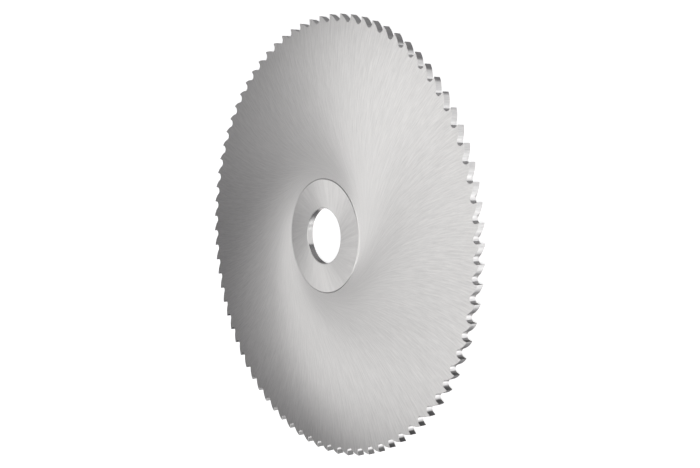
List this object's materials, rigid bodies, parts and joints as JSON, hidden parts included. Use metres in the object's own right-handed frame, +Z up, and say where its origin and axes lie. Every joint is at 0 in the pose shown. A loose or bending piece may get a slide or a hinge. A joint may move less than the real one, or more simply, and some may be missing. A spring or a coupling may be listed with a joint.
{
  "type": "slitting saw",
  "caption": "Thin round metal slitting saw with a plain bore, raised flat hubs, hollow-ground sides and curved-back teeth round the rim, for cutting slots on an arbor.",
  "frame": {"origin": "centre of the bore on the lower hub face, which the saw lies on", "axes": "+Z up along the bore's axis; +X through the tip of a tooth; seen from above, the cutting faces look counter-clockwise"},
  "size_m": [0.25, 0.25, 0.004],
  "materials": {
    "ground_steel": "bright steel, finely ground in curved lines on the sides and in radial lines on the hubs"
  },
  "bodies": {
    "root": {"saw_blade": "ground_steel"}
  },
  "joints": []
}
